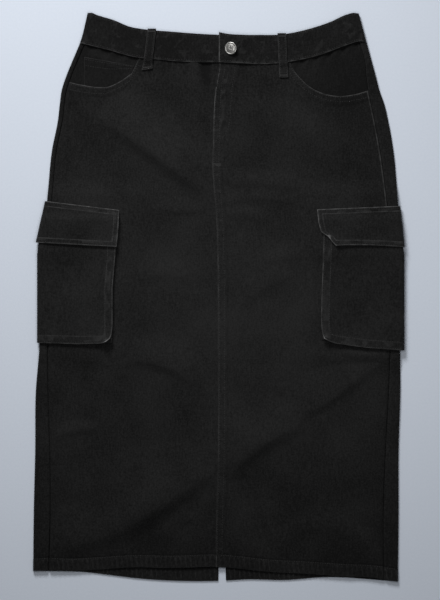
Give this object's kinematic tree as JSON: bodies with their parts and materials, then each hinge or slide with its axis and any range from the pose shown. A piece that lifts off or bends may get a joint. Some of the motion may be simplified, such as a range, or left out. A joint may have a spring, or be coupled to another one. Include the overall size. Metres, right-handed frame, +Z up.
{
  "type": "cargo skirt laid flat",
  "caption": "Midi-length black denim skirt laid flat on its back, with scooped front pockets, flapped cargo pockets over the side seams and a back slit.",
  "frame": {"origin": "on the resting surface, under the middle of the skirt's outline", "axes": "+Y from hem to waist, +Z up from the surface through back then front, +X to the wearer's left"},
  "size_m": [0.5299, 0.8105, 0.0139],
  "materials": {
    "denim": "washed black cotton twill, matt, worn grey along the seams",
    "button_metal": "satin silver"
  },
  "bodies": {
    "root": {"front_panel_right": "denim", "front_panel_left": "denim", "back_panel_right": "denim", "back_panel_left": "denim", "waistband": "denim", "pocket_facing_right": "denim", "pocket_facing_left": "denim", "coin_pocket": "denim", "belt_loop_front_right": "denim", "belt_loop_front_left": "denim", "belt_loop_back_right": "denim", "belt_loop_back_centre": "denim", "belt_loop_back_left": "denim", "cargo_pocket_right": "denim", "cargo_pocket_left": "denim", "cargo_gusset_right": "denim", "cargo_gusset_left": "denim", "cargo_flap_right": "denim", "cargo_flap_left": "denim", "button": "button_metal"}
  },
  "joints": []
}
